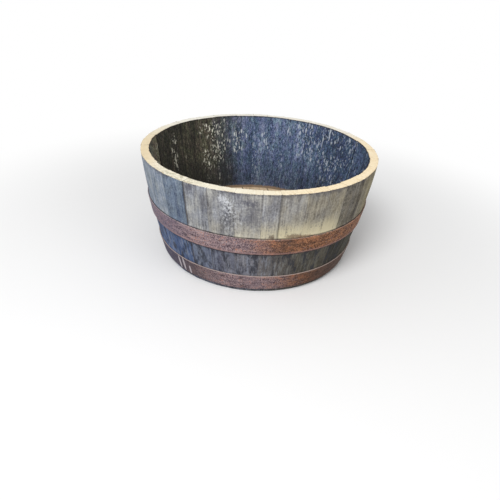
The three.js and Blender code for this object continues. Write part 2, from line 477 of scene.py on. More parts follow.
def stave_outline(thickness):
    """(radius, height) pairs: up the outside, over the saw cut and down the inside."""
    outline = [(outside_at(z), z) for z in levels(0, HEIGHT, SECTION_STEP)]
    rim = outside_at(HEIGHT)
    outline += [(r, HEIGHT) for r in levels(rim, rim - thickness, SECTION_STEP)]
    outline += [(outside_at(z) - thickness, z) for z in levels(HEIGHT, HOWEL_TOP, SECTION_STEP)]
    low, high = CROZE
    for z in levels(HOWEL_TOP, high, SECTION_STEP):
        hollowed = math.sin((HOWEL_TOP - z) / (HOWEL_TOP - high) * math.pi / 2)
        inside = outside_at(z) - thickness
        outline.append((inside + (cut_inside(z) - inside) * hollowed, z))
    bottom = cut_inside((low + high) / 2) + CROZE_DEPTH
    outline += [(cut_inside(high), high), (bottom, high), (bottom, low), (cut_inside(low), low)]
    outline.append((cut_inside(CHIME_BEVEL), CHIME_BEVEL))
    outline.append((outside_at(0) - CHIME_THICKNESS, 0.0))
    return outline


print("points in an outline:", len(stave_outline(THICKNESS)))

# %% Sweep the outline from joint to joint
JOINT_CLOSING = 0.00013
ARRIS = 0.0004
SAWN_EDGE = 0.0007
SMOOTH_BEND = 0.5


def swept_stave(stave):
    """A closed bmesh of the new, unworn stave."""
    shape = bmesh.new()
    close = JOINT_CLOSING / RIM_RADIUS
    start, angle = stave.start - close, stave.end - stave.start + 2 * close
    outline = [shape.verts.new(at(start, r, z)) for r, z in stave_outline(stave.thickness)]
    end = shape.faces.new(outline)
    steps = round(angle * RIM_RADIUS / GRAIN_STEP)
    bmesh.ops.spin(
        shape, geom=[end, *end.edges, *end.verts], cent=(0, 0, 0), axis=(0, 0, 1),
        dvec=(0, 0, 0), angle=angle, steps=steps, use_merge=False)
    bmesh.ops.recalc_face_normals(shape, faces=shape.faces)
    return shape


def bevelled(shape, edges, width, segments=2):
    bmesh.ops.bevel(
        shape, geom=edges, offset=width, affect="EDGES", segments=segments, profile=0.5,
        material=-1)


def soften_arrises(shape):
    """Bevels the long edges and the saw cut's two edges, and leaves the foot's cuts sharp."""
    long_edges, sawn_edges = [], []
    for edge in shape.edges:
        if not edge.is_manifold or edge.calc_face_angle() < SMOOTH_BEND:
            continue
        low = min(vertex.co.z for vertex in edge.verts)
        if low < CROZE[1] + 0.002 and edge.verts[0].co.xy.length < outside_at(low) - 0.001:
            continue
        if low < HEIGHT - 1e-5:
            long_edges.append(edge)
        elif all(len(face.verts) == 4 for face in edge.link_faces):
            sawn_edges.append(edge)
    bevelled(shape, long_edges, ARRIS)
    bevelled(shape, [edge for edge in sawn_edges if edge.is_valid], SAWN_EDGE, 1)


def is_closed(shape):
    return all(edge.is_manifold for edge in shape.edges)


trial = swept_stave(staves[0])
print("one stave:", len(trial.faces), "faces, closed:", is_closed(trial))
soften_arrises(trial)
print("bevelled:", len(trial.faces), "faces, closed:", is_closed(trial))
trial.free()

# %% [markdown]
# ### Wear on the staves
#
# Rain raises the hard growth rings and washes the soft wood out between them, so the outside
# is ribbed along the grain. Fire leaves cells about as big as a thumbnail with deep cracks
# between them; coopers call it alligator char. Voronoi distances draw such cells: the gap
# between the nearest and the next seed is nothing on a border and grows inside a cell.

# %% How deep the weather and the fire went
GRAIN_DEPTH = 0.0005
HOLLOW_DEPTH = 0.0009
SINK_DEPTH = 0.0008
FLATTENING = 0.35
CHIP_DEPTH = 0.0016
SAW_DEPTH = 0.00025
CHAR_CELL = Vector((0.0078, 0.0190))
CHAR_DEPTH = 0.0011
BLISTER_DEPTH = 0.0009
CHAR_BOTTOM = 0.062
HOOP_LEVELS = [[corner.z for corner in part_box(hoop)] for hoop in ("quarter_hoop", "head_hoop")]
HOOP_REACH = 0.012


def smooth(value, low, high):
    share = min(1.0, max(0.0, (value - low) / (high - low)))
    return share * share * (3 - 2 * share)


def weather_depth(angle, height, seed):
    """How far the outside has worn in."""
    ring = outward(angle) * RIM_RADIUS
    grain = noise.noise(ring * 210 + Vector((0, 0, height * 7 + seed)))
    ridge = noise.noise(ring * 95 + Vector((0, 0, height * 4 + seed * 2)))
    hollow = noise.noise(ring * 16 + Vector((0, 0, height * 9 + seed)))
    depth = GRAIN_DEPTH * (0.5 + 0.5 * grain) + GRAIN_DEPTH * abs(ridge)
    return depth + HOLLOW_DEPTH * (0.5 + 0.5 * hollow)


def hooped(height):
    """1 under a hoop, which keeps the staves flush, and 0 away from it."""
    share = 0.0
    for low, high in HOOP_LEVELS:
        above = smooth(height, low - HOOP_REACH, low)
        share += above * (1 - smooth(height, high, high + HOOP_REACH))
    return share


def char_depth(angle, height, seed):
    """(how far the fire ate in, how much of a crack is there from 0 to 1)."""
    along = Vector((angle * RIM_RADIUS / CHAR_CELL.x, height / CHAR_CELL.y, seed))
    warp = noise.noise_vector(along * 0.6) * 0.45 + noise.noise_vector(along * 2.1) * 0.12
    distances = noise.voronoi(along + warp)[0]
    border = distances[1] - distances[0]
    crack = 1 - smooth(border, 0.02, 0.26)
    lump = noise.noise(along * 1.7 + Vector((5, 1, 0)))
    burnt = smooth(height, CHAR_BOTTOM - 0.02, CHAR_BOTTOM + 0.01)
    depth = CHAR_DEPTH * crack + BLISTER_DEPTH * (0.5 + 0.5 * lump)
    return depth * (0.25 + 0.75 * burnt), crack * burnt


print("char cells:", CHAR_CELL[:], "m, cracks", CHAR_DEPTH, "m deep")

# %% Tones of single staves, with painted light and shade
# Outside and inside, by the number of the stave: (how light, how warm), about -1 to 1.
# Both are partly each stave's own tone and partly painted light and shade: outside, bluer at
# the left, yellower and darker at the right; inside, darker and olive at the left.
OUTSIDE_TONES_AND_LIGHT = {
    1: (0.1, -0.9), 2: (0.45, -0.8), 3: (0.6, -0.75), 4: (-0.6, -1.0), 5: (0.1, -0.3),
    6: (-0.15, -0.2), 7: (0.15, -0.1), 8: (0.25, 0.1), 9: (0.08, 0.4), 10: (0.25, 0.55),
    11: (0.3, 0.7), 12: (-1.1, 0.6), 13: (-0.35, 1.0), 14: (-0.15, 1.0),
}
INSIDE_TONES_AND_LIGHT = {
    13: (-0.9, 0.1), 14: (-0.9, 0.1), 15: (-0.8, 0.1), 16: (-0.6, 0.0), 17: (-0.5, 0.1),
    18: (-0.4, 0.0), 19: (-0.05, 0.0), 20: (0.28, -0.2), 21: (0.25, -0.2), 22: (0.26, -0.2),
    23: (0.0, 0.0), 24: (-0.1, 0.0), 25: (0.1, 0.0), 26: (-0.3, 0.1), 27: (-0.8, 0.2),
    28: (-0.6, 0.4), 29: (1.3, 0.6), 30: (0.6, 0.6),
}
# Joints that gape, by the number of the stave after them, and how much
WIDE_JOINTS = {5: 0.75, 9: 0.6, 12: 0.3}
print("staves with a tone of their own:", len(OUTSIDE_TONES_AND_LIGHT), "and", len(INSIDE_TONES_AND_LIGHT))

# %% Wear one stave
STAVE_DROP = 0.0005
SAW_WAVES = 2100
STORED = ("tone", "light", "warm_tone_and_light", "crack", "edge")


def wear(shape, stave, number):
    """Moves the vertices into the wood and stores what the finishes need to know."""
    dice = random.Random(number)
    seed = dice.uniform(0, 50)
    sink = dice.uniform(0, SINK_DEPTH)
    drop = dice.uniform(0, STAVE_DROP)
    half = (stave.end - stave.start) / 2
    sagitta = RIM_RADIUS * (1 - math.cos(half))
    plain = (dice.uniform(-0.3, 0.3), dice.uniform(-0.4, 0.5))
    outside_tone_and_light = OUTSIDE_TONES_AND_LIGHT.get(number, plain)
    inside_tone_and_light = INSIDE_TONES_AND_LIGHT.get(number, plain)
    store = {name: shape.verts.layers.float.new(name) for name in STORED}
    for vertex in shape.verts:
        spot = vertex.co
        radius, height, angle = spot.xy.length, spot.z, turn_of(spot)
        inside_share = min(1.0, max(0.0, (outside_at(height) - radius) / stave.thickness))
        across = stave.offset(angle) / half
        rim = smooth(height, HEIGHT - 0.005, HEIGHT - 0.0005)
        bow = FLATTENING * sagitta * max(0.0, 1 - across**2)
        worn = (weather_depth(angle, height, seed) + sink + bow) * (1 - 0.8 * hooped(height))
        chip = CHIP_DEPTH * max(0.0, noise.noise(spot * 95 + Vector((seed, 0, 0))) - 0.12)
        worn += rim * chip
        eaten, crack = char_depth(angle, height, seed)
        out_side = (1 - inside_share) ** 2
        move = inside_share**2 * eaten - out_side * worn
        stroke = math.sin(spot.x * SAW_WAVES + 3 * noise.noise(spot * 30))
        saw = SAW_DEPTH * (0.5 + 0.5 * stroke)
        fall = smooth(height, HEIGHT - 0.004, HEIGHT) * (drop + saw + out_side * chip)
        vertex.co = at(angle, radius + move, height - fall)
        # The lightness and warmth stored here are partly painted light and shade.
        light, warm_tone_and_light = inside_tone_and_light if inside_share > 0.5 else outside_tone_and_light
        edge = (1 - abs(across)) * half * RIM_RADIUS * 1000
        for name, value in zip(STORED, (seed, light, warm_tone_and_light, crack * inside_share, edge)):
            vertex[store[name]] = value


# %% Which face gets which finish
OUTSIDE, SAWN, CHARRED, BARE = range(4)
SAWN_ZONE = 0.0022
SHARP_ANGLE = math.radians(38)


def finish_of(face):
    """Sorts a face by the way it looks and where it is."""
    middle = face.calc_center_median()
    facing = face.normal.dot(outward(turn_of(middle)))
    if middle.z > HEIGHT - SAWN_ZONE and face.normal.z > 0.55:
        return SAWN
    if facing > 0.5:
        return OUTSIDE
    if facing < -0.35 and middle.z > CROZE[1]:
        return CHARRED
    return BARE


def as_object(shape, name, finishes):
    """Turns a bmesh into an object at the origin, smooth but for its sharp edges."""
    mesh = bpy.data.meshes.new(name)
    shape.to_mesh(mesh)
    shape.free()
    for finish in finishes:
        mesh.materials.append(finish)
    mesh.shade_smooth()
    mesh.set_sharp_from_angle(angle=SHARP_ANGLE)
    piece = bpy.data.objects.new(name, mesh)
    bpy.context.scene.collection.objects.link(piece)
    return piece


print("finishes of a stave: outside, sawn, charred, bare")

# %% [markdown]
# ### Weathered oak
#
# Oak that stands outdoors goes silver grey as light and rain break its surface down. Here it
# is built in layers, as it came about: streaks of grain and clouds set a level, and each
# stave picks a cool, a plain or a tan grey, partly its own tone and partly painted light,
# cooler at the left and yellower at the right. Then come bands round the tub. Wood just above
# the upper hoop stayed pale, and below it painted shade darkens the wood, with painted blue
# light at the left and nearly black painted shade at the right. A painted yellow-green light
# lies along the right edge.

# %% Bands round the tub
HOOP_BOTTOM, HOOP_TOP = HOOP_LEVELS[0]
# Painted shade below the hoop, a filter from the left side of the tub to the right: painted
# blue light at the left, nearly black shade at the right
SHADE_BELOW_HOOP = [
    (0.04, (0.24, 0.34, 0.60, 1)), (0.11, (0.28, 0.38, 0.63, 1)), (0.18, (0.41, 0.51, 0.78, 1)),
    (0.27, (0.43, 0.49, 0.63, 1)), (0.36, (0.37, 0.38, 0.49, 1)), (0.46, (0.62, 0.62, 0.69, 1)),
    (0.56, (0.36, 0.34, 0.35, 1)), (0.73, (0.23, 0.23, 0.22, 1)), (0.83, (0.17, 0.16, 0.145, 1)),
    (0.94, (0.15, 0.145, 0.10, 1)),
]
BAND_WIDTH = 0.56
# A painted yellow-green light along the right edge of the tub
RIGHT_EDGE_LIGHT_CAST = (1.0, 0.96, 0.74, 1)


def banded(oak, color, level, fine, cloud):
    """Pale wood above the upper hoop, grime under the rim, painted shade, dust and soot below the
    hoop, and painted light at the sides.
    """
    kept = oak.times(
        oak.ease(oak.z, HOOP_TOP + 0.058, HOOP_TOP + 0.010),
        oak.ease(oak.z, HOOP_BOTTOM, HOOP_TOP),
        oak.ease(oak.painted("warm_tone_and_light"), -0.45, 0.4),
        oak.ease(oak.x, 0.225, 0.18),
        oak.ease(level, 0.25, 0.5, 0.35, 1.0))
    color = oak.mix(kept, color, oak.mix(fine, tint(222, 206, 160), tint(250, 242, 212)))
    under_rim = oak.times(oak.ease(oak.z, 0.284, 0.298), oak.ease(cloud, 0.62, 0.40))
    color = oak.coat(color, (84, 82, 92), under_rim, 0.6)
    below = oak.ease(oak.z, HOOP_TOP - 0.01, HOOP_BOTTOM - 0.01)
    side = oak.math("MULTIPLY_ADD", oak.x, 1 / BAND_WIDTH, 0.5)
    # Painted shade below the hoop, with painted blue sky light at the left
    color = oak.cast(color, oak.ramp(side, *SHADE_BELOW_HOOP), below)
    # Painted yellow-green light along the right edge
    color = oak.cast(color, RIGHT_EDGE_LIGHT_CAST, oak.ease(oak.x, 0.24, 0.295, 0.0, 0.8))
    dusty = oak.ease(oak.grain((150, 34), 4, 0.75), 0.50, 0.62)
    dusty = oak.times(dusty, below, oak.ease(oak.x, 0.045, 0.205, 0.7, 0.2))
    # The pale dust is tinted bluer at the left by painted sky light
    dust = oak.mix(oak.ease(oak.x, -0.02, 0.12), tint(150, 156, 172), tint(146, 144, 134))
    color = oak.mix(dusty, color, dust)
    sooty = oak.ease(oak.grain((60, 24), 4, 0.7), 0.50, 0.38)
    return oak.coat(color, (42, 44, 54), sooty, below, 0.8)


print("upper hoop from", round(HOOP_BOTTOM, 3), "to", round(HOOP_TOP, 3), "m")

# %% [markdown]
# A painted shadow darkens a strip along the hoop's edges, most of it under the hoop's lower
# edge. Dirt gathers where water stands: at the torn edge of the saw cut and in the joints, most
# of all beside the ones that gape. Single stains come last, with a splash of whitewash and its
# drops.

# %% Painted hoop shadow, grime and stains
# A splash of whitewash and its drops: degrees, metres, half width, half height, how sparse
SPLASHES = [
    (-12.8, 0.277, 2.7, 0.010, 0.47), (-10.8, 0.262, 1.9, 0.013, 0.47),
    (-10.2, 0.243, 2.6, 0.022, 0.56), (-9.0, 0.215, 3.6, 0.018, 0.60),
]
DROPS = (-10.0, 0.236, 5.0, 0.044)
# Degrees, metres, half width, half height, how strong, colour
STAINS = [
    (-12.4, 0.277, 2.8, 0.011, 0.45, (206, 208, 214)),
    (-2.5, 0.276, 3.6, 0.006, 0.65, (84, 84, 100)),
    (-21.6, 0.262, 1.5, 0.022, 0.5, (92, 90, 98)),
    (-28.6, 0.289, 1.6, 0.012, 0.7, (88, 88, 102)),
    (-0.9, 0.238, 2.6, 0.030, 0.6, (100, 100, 110)),
    (16.8, 0.187, 3.4, 0.005, 0.75, (122, 96, 76)),
    (21.5, 0.184, 3.4, 0.003, 0.7, (134, 100, 74)),
    (7.5, 0.186, 1.1, 0.006, 0.8, (96, 76, 62)),
]


def grimed(oak, color, cloud):
    """Painted shadow along the hoop, and dirt along the rim and the joints."""
    # Painted shadow: a dark strip just under the hoop's lower edge, and a narrow one above its
    # top
    hoop_shadow = oak.math(
        "MINIMUM",
        oak.ease(oak.z, HOOP_TOP + 0.0035, HOOP_TOP + 0.001),
        oak.ease(oak.z, HOOP_BOTTOM - 0.0075, HOOP_BOTTOM - 0.0035))
    color = oak.coat(color, (26, 24, 27), hoop_shadow, oak.ease(cloud, 0.35, 0.6, 0.95, 0.6))
    nibbled = oak.ease(oak.grain((130, 50), 3, 0.7), 0.50, 0.60)
    nibbled = oak.times(nibbled, oak.ease(oak.z, HEIGHT - 0.007, HEIGHT - 0.002))
    color = oak.coat(color, (62, 54, 54), nibbled, 0.75)
    edge, gape = oak.painted("edge"), oak.painted("gape")
    reach = oak.math("MULTIPLY_ADD", gape, 7.0, 0.9)
    near = oak.ease(oak.stacked(edge, (cloud, 5.0)), 0.0, reach, 1.0, 0.0)
    grime = oak.times(near, oak.math("MULTIPLY_ADD", gape, 0.7, 0.06))
    slit = oak.times(oak.ease(edge, 0.8, 2.2, 1.0, 0.0), oak.ease(gape, 0.5, 1.0))
    return oak.coat(color, (44, 44, 52), oak.math("MAXIMUM", grime, slit))


def stained(oak, color, cloud):
    """Single stains and the splash."""
    ragged = oak.stacked(0.5, (oak.grain((140, 110), 5, 0.8, shuffle=0), 4.0))
    for *oval, amount, stain in STAINS:
        color = oak.coat(color, stain, oak.spot(*oval, ragged, 0.6), amount)
    wet = oak.grain((190, 120), 4, 0.75, shuffle=0)
    dotted = oak.spot(*DROPS, cloud, 0.6)
    color = oak.coat(color, (84, 84, 92), dotted, oak.ease(wet, 0.48, 0.40, 0.0, 0.5))
    color = oak.coat(color, (214, 216, 220), dotted, oak.ease(wet, 0.52, 0.60, 0.0, 0.6))
    for *oval, sparse in SPLASHES:
        splash = oak.times(oak.spot(*oval, ragged, 0.35), oak.ease(wet, sparse, sparse + 0.06))
        color = oak.coat(color, (232, 234, 238), splash, 0.85)
    return color


print("stains:", len(STAINS), "splashes:", len(SPLASHES))

# %% Weathered oak
WARM_CAST = (1.02, 1.00, 0.93, 1)
COOL_CAST = (0.97, 0.99, 1.03, 1)


def weathered_oak():
    oak = Finish("weathered_oak")
    fine = oak.grain((420, 18), 4, 0.65)
    streak = oak.grain((120, 9), 4, 0.62)
    band = oak.grain((32, 5), 3, 0.55)
    cloud = oak.grain((24, 26), 5, 0.62)
    speck = oak.grain((260, 200), 3, 0.7)
    level = oak.stacked(
        0.5, (streak, 0.7), (fine, 1.1), (band, 0.5), (cloud, 1.1), (speck, 1.1))
    # Each stave's stored lightness is partly its own tone and partly painted shade
    level = oak.plus(level, oak.painted("light"), 0.28)
    cool = oak.shades(level, (66, 78, 104), (135, 150, 169), (200, 207, 216))
    plain = oak.shades(level, (80, 79, 84), (162, 161, 164), (220, 220, 218))
    tan = oak.shades(level, (82, 76, 64), (162, 154, 138), (214, 206, 184))
    # Cool at the left and tan at the right: partly each stave's own tone, partly painted light
    warm_tone_and_light = oak.painted("warm_tone_and_light")
    color = oak.mix(oak.ease(warm_tone_and_light, -1.0, 0.0), cool, plain)
    color = oak.mix(oak.ease(warm_tone_and_light, 0.0, 0.8), color, tan)
    drift = oak.ease(oak.grain((45, 22), 3, 0.6), 0.36, 0.64)
    color = oak.cast(color, oak.mix(drift, WARM_CAST, COOL_CAST))
    color = banded(oak, color, level, fine, cloud)
    color = grimed(oak, color, cloud)
    color = stained(oak, color, cloud)
    height = oak.plus(oak.plus(oak.times(streak, 0.5), fine, 0.7), speck, 0.35)
    return oak.finish(color, oak.ease(level, 0.0, 1.0, 0.95, 0.8), height, 0.0012)


stave_finishes = [weathered_oak()]
print("outside:", len(stave_finishes[OUTSIDE].node_tree.nodes), "nodes")

# %% [markdown]
# ### Sawn end grain
#
# The saw cut shows end grain: pale oak with growth rings that cross each stave from inside
# to outside, rays that run the other way, and the straight scratches of the saw. Its colour
# also holds painted light: a yellowish cream at the right, a darker cream of painted shade at
# the far left, and a painted overexposed white at the back. The edge inside is toasted brown
# where the fire's heat went deeper than the char, and splinters fringe the edge outside.

# %% Sawn oak
RINGS = 330


def sawn_oak():
    oak = Finish("sawn_oak")
    rings = oak.grain((RINGS, 0, 22), 3, 0.6)
    rays = oak.grain((60, 0, 420), 2, 0.5)
    cloud = oak.grain((24, 0, 60), 3, 0.6)
    level = oak.stacked(0.55, (rings, 0.9), (rays, 0.35), (cloud, 0.7))
    cream = oak.shades(level, (206, 180, 134), (246, 226, 189), (252, 240, 214))
    pale = oak.shades(level, (200, 190, 164), (236, 228, 206), (247, 244, 230))
    white = oak.shades(level, (208, 204, 190), (238, 236, 226), (250, 249, 244))
    # Painted light: yellowish cream at the right, a darker cream of painted shade at the far
    # left, and a painted overexposed white at the back
    color = oak.mix(oak.ease(oak.x, -0.06, 0.16), pale, cream)
    shaded = oak.times(oak.ease(oak.x, -0.22, -0.29), oak.ease(oak.y, 0.06, -0.02, 0.3, 0.6))
    color = oak.coat(color, (220, 194, 146), shaded)
    color = oak.mix(oak.ease(oak.y, 0.04, 0.20, 0.0, 0.8), color, white)
    mould = oak.grain((90, 0, 120), 4, 0.7, shuffle=0.0)
    patch = oak.spot(-36.0, HEIGHT, 12.0, 0.05, mould)
    color = oak.coat(color, (176, 170, 144), patch, oak.ease(mould, 0.46, 0.58), 0.7)
    depth = oak.painted("depth")
    color = oak.coat(color, (92, 62, 36), oak.ease(depth, 0.955, 0.995), 0.8)
    splinter = oak.ease(oak.grain((150, 0, 60), 4, 0.7), 0.50, 0.62)
    color = oak.coat(color, (170, 140, 98), splinter, oak.ease(depth, 0.14, 0.02), 0.7)
    color = oak.coat(color, (120, 96, 66), oak.ease(oak.painted("edge"), 0.1, 0.9, 0.22, 0.0))
    along_saw = oak.add("CombineXYZ", oak.times(oak.x, 900.0), oak.times(oak.y, 12.0), 0.0)
    scratch = oak.noise(along_saw.outputs[0], 2)
    height = oak.plus(oak.times(rings, 0.6), scratch, 0.6)
    return oak.finish(color, 0.78, height, 0.0008)


stave_finishes.append(sawn_oak())
print("sawn oak: growth rings every", round(1000 / RINGS, 1), "mm")

# %% [markdown]
# ### Charred oak
#
# Char is nearly black, yet it is not flat: its ashy skin throws the sky's light back. That
# light is painted into its colour, a painted blue reflection at the right and olive painted
# shade at the left, darker low down and in a painted shadow strip under the rim; its cracks
# stay black. Here and there flakes have come off and left small bright scars along the grain,
# in three sizes and mostly in crowds, painted partly as bare wood and partly as glints of
# light.

# %% Flakes and painted glints
# Cells to the metre around and along, how rare, how large, how bright
FLAKES_AND_GLINTS = [
    (58, 24, 0.80, 0.30, 0.5), (115, 46, 0.50, 0.40, 0.95), (240, 110, 0.40, 0.42, 0.7)]
# Where they crowd together: degrees, metres, half width, half height
CROWDS = [
    (-140, 0.268, 4, 0.016), (-148, 0.256, 6, 0.026), (-151, 0.186, 4, 0.030),
    (-166, 0.218, 6, 0.040), (150, 0.276, 5, 0.026), (152, 0.216, 5, 0.024),
    (131, 0.272, 5, 0.022), (127, 0.200, 6, 0.030), (114, 0.250, 8, 0.050),
]


def flakes_and_glints(char, color, olive_shade_side):
    """Scatters the scars of flakes, partly bare wood and partly painted glints of light."""
    group = char.grain((15, 5), 3, 0.6)
    group = char.plus(group, char.ease(char.x, 0.04, 0.22), 0.04)
    group = char.plus(group, char.ease(char.x, -0.20, -0.26), -0.08)
    thick = char.math("MULTIPLY_ADD", olive_shade_side, 0.07, 0.16)
    for oval in CROWDS:
        group = char.plus(group, char.spot(*oval, group, 0.6), thick)
    grouped = char.times(char.ease(group, 0.50, 0.60), char.ease(char.z, 0.09, 0.20, 0.3, 1.0))
    # Painted glints are bluish white on the lit side and cream on the olive shade side
    scar_and_glint = char.mix(olive_shade_side, tint(196, 204, 216), tint(250, 246, 226))
    for around, along, rare, size, bright in FLAKES_AND_GLINTS:
        place = char.on_barrel(around, along)
        flakes = char.flecks(place, (rare, rare + 0.05), (size, size - 0.14))
        color = char.mix(char.times(flakes, grouped, bright), color, scar_and_glint)
    return color


print("flakes:", len(FLAKES_AND_GLINTS), "sizes,", len(CROWDS), "crowds")

# %% Charred oak
TEAL_CAST = (0.95, 1.05, 0.98, 1)
VIOLET_CAST = (1.06, 0.97, 1.12, 1)


def charred_oak():
    char = Finish("charred_oak")
    crack = char.painted("crack")
    brushed = char.grain((260, 60), 4, 0.7)
    dust = char.grain((380, 240), 3, 0.75)
    cloud = char.grain((26, 12), 4, 0.6)
    streak = char.grain((80, 5), 4, 0.65)
    level = char.stacked(0.5, (brushed, 1.3), (dust, 2.0), (cloud, 0.8), (streak, 0.8))
    # The stored lightness is partly each stave's own tone and partly painted shade
    level = char.plus(level, char.painted("light"), 0.3)
    # Painted light: a blue reflection of the sky at the right, olive painted shade at the left
    cool = char.shades(level, (26, 31, 42), (84, 107, 143), (172, 187, 210))
    olive = char.shades(level, (24, 22, 15), (71, 67, 51), (146, 138, 112))
    across = char.stacked(char.x, (char.grain((20, 8), 3, 0.6, shuffle=0.0), 0.12))
    olive_shade_side = char.ease(char.plus(across, char.painted("warm_tone_and_light"), -0.08), -0.02, -0.18)
    neutral = char.math("SUBTRACT", 0.55, olive_shade_side)
    olive_shade_side = char.plus(olive_shade_side, char.ease(char.y, 0.02, -0.16), neutral)
    color = char.mix(olive_shade_side, cool, olive)
    hue = char.ease(char.grain((70, 40), 3, 0.6), 0.38, 0.62)
    color = char.cast(color, char.mix(hue, TEAL_CAST, VIOLET_CAST))
    color = char.coat(color, (12, 12, 14), crack, 0.4)
    gaps = char.grain((170, 70), 3, 0.7)
    color = char.coat(color, (18, 19, 24), char.ease(gaps, 0.46, 0.34, 0.0, 0.75))
    # Painted shade low down in the tub, most on the olive shade side
    low = char.times(char.ease(char.z, 0.21, 0.08), char.ease(olive_shade_side, 0.0, 0.7, 0.45, 0.8))
    color = char.coat(color, (24, 23, 20), low)
    color = flakes_and_glints(char, color, olive_shade_side)
    bare = char.ease(char.plus(char.z, cloud, 0.008), 0.070, 0.064)
    color = char.coat(color, (152, 126, 96), bare, 0.85)
    # Painted shadow: a dark strip just under the inner edge of the rim
    color = char.coat(color, (20, 18, 15), char.ease(char.z, HEIGHT - 0.006, HEIGHT - 0.001), 0.8)
    height = char.plus(char.times(brushed, 0.6), dust, 0.7)
    return char.finish(color, char.ease(crack, 0.0, 1.0, 0.62, 0.95), height, 0.0012)


stave_finishes.append(charred_oak())
print("inside:", len(stave_finishes[CHARRED].node_tree.nodes), "nodes")

# %% Bare oak, on the joints, the chime and the croze
def bare_oak():
    oak = Finish("bare_oak")
    grain = oak.grain((200, 12, 300), 4, 0.6)
    color = oak.ramp(
        grain, (0.25, tint(62, 52, 40)), (0.5, tint(104, 90, 68)), (0.8, tint(138, 122, 96)))
    color = oak.coat(color, (24, 23, 24), oak.ease(oak.painted("depth"), 0.6, 0.9))
    return oak.finish(color, 0.9, grain, 0.0008)


stave_finishes.append(bare_oak())
print("finishes:", [finish.name for finish in stave_finishes])

# %% Make all staves
def split_big_faces(shape):
    """Cuts faces of more than four sides into triangles."""
    bmesh.ops.triangulate(shape, faces=[face for face in shape.faces if len(face.verts) > 4])


def make_stave(stave, number):
    shape = swept_stave(stave)
    soften_arrises(shape)
    depth = shape.verts.layers.float.new("depth")
    gape = shape.verts.layers.float.new("gape")
    for vertex in shape.verts:
        vertex[depth] = (outside_at(vertex.co.z) - vertex.co.xy.length) / stave.thickness
        joint = number if stave.offset(turn_of(vertex.co)) < 0 else number + 1
        vertex[gape] = WIDE_JOINTS.get(joint, 0.0)
    for face in shape.faces:
        face.material_index = finish_of(face)
    wear(shape, stave, number)
    split_big_faces(shape)
    piece = as_object(shape, f"oak_stave_{number:02d}", stave_finishes)
    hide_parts(stave.name)
    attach(piece, "root")
    return piece


def faces_of(pieces):
    return sum(len(piece.data.polygons) for piece in pieces)


oak_staves = [make_stave(stave, number) for number, stave in enumerate(staves, 1)]
print("staves made:", len(oak_staves), "with", faces_of(oak_staves), "faces")

# %% [markdown]
# ## The head
#
# The tub's floor is the barrel's head: boards side by side, pinned with dowels, whose rim is
# bevelled on both faces down to a tongue that sits in the croze. A cooper turns it in one
# go, so it is made that way here too. One profile is spun into a disc, and the disc is cut
# into boards with `bmesh.ops.bisect_plane`. The dowels tell which way the boards run.

# %% Measure the head
def middle_of(node):
    lowest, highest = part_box(node)
    return (lowest + highest) / 2


boards = sorted(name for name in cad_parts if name.startswith("head_board"))
FLOOR_BOTTOM, FLOOR_TOP = (corner.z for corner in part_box(boards[0]))
FLOOR_MIDDLE = (FLOOR_TOP + FLOOR_BOTTOM) / 2
HEAD_RADIUS = max(
    vertex.co.xy.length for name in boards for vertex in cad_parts[name].data.vertices)
RUN = (middle_of("dowel_3_back") - middle_of("dowel_3_front")).normalized()
ACROSS = Vector((RUN.y, -RUN.x, 0))
board_joints = [middle_of(f"dowel_{n}_front").dot(ACROSS) for n in range(1, len(boards))]
print("head radius:", round(HEAD_RADIUS, 4), "joints at", [round(x, 3) for x in board_joints])

# %% Spin the head and saw it into boards
OUTER_BEVEL = 0.016
INNER_BEVEL = 0.005
TONGUE = 0.0054
FLOOR_STEP = 0.0042
HEAD_STEPS = 320
BOARD_ARRIS = 0.0009


def head_outline():
    """(radius, height) pairs from the middle of the underside, round the tongue, to the top."""
    low, high = FLOOR_MIDDLE - TONGUE / 2, FLOOR_MIDDLE + TONGUE / 2
    root = HEAD_RADIUS - CROZE_DEPTH
    corners = [
        (0, FLOOR_BOTTOM), (root - OUTER_BEVEL, FLOOR_BOTTOM), (root, low), (HEAD_RADIUS, low),
        (HEAD_RADIUS, high), (root, high), (root - INNER_BEVEL, FLOOR_TOP), (0, FLOOR_TOP)]
    outline = []
    for (r0, z0), (r1, z1) in zip(corners, corners[1:]):
        pieces = max(1, round(math.hypot(r1 - r0, z1 - z0) / FLOOR_STEP))
        for i in range(pieces):
            outline.append((r0 + (r1 - r0) * i / pieces, z0 + (z1 - z0) * i / pieces))
    return outline + [corners[-1]]


def spun(profile, steps):
    """Turns points on a half section round the upright axis into a closed skin."""
    shape = bmesh.new()
    points = [shape.verts.new(point) for point in profile]
    edges = [shape.edges.new(pair) for pair in zip(points, points[1:])]
    bmesh.ops.spin(
        shape, geom=[*points, *edges], cent=(0, 0, 0), axis=(0, 0, 1), dvec=(0, 0, 0),
        angle=2 * math.pi, steps=steps, use_merge=True)
    bmesh.ops.remove_doubles(shape, verts=shape.verts, dist=1e-6)
    bmesh.ops.recalc_face_normals(shape, faces=shape.faces)
    return shape


def keep_side(shape, across, keep_above):
    """Saws the shape along a joint, keeps one side and closes the cut."""
    cut = bmesh.ops.bisect_plane(
        shape, geom=[*shape.verts, *shape.edges, *shape.faces], dist=1e-7,
        plane_co=ACROSS * across, plane_no=ACROSS, clear_inner=keep_above,
        clear_outer=not keep_above)
    edges = [item for item in cut["geom_cut"] if isinstance(item, bmesh.types.BMEdge)]
    closed = bmesh.ops.holes_fill(shape, edges=edges, sides=0)["faces"]
    bevelled(shape, [edge for face in closed for edge in face.edges], BOARD_ARRIS)


def sawn_board(head, number):
    """One board of the head, before it is worn."""
    shape = head.copy()
    if number > 0:
        keep_side(shape, board_joints[number - 1], True)
    if number < len(board_joints):
        keep_side(shape, board_joints[number], False)
    bmesh.ops.recalc_face_normals(shape, faces=shape.faces)
    return shape


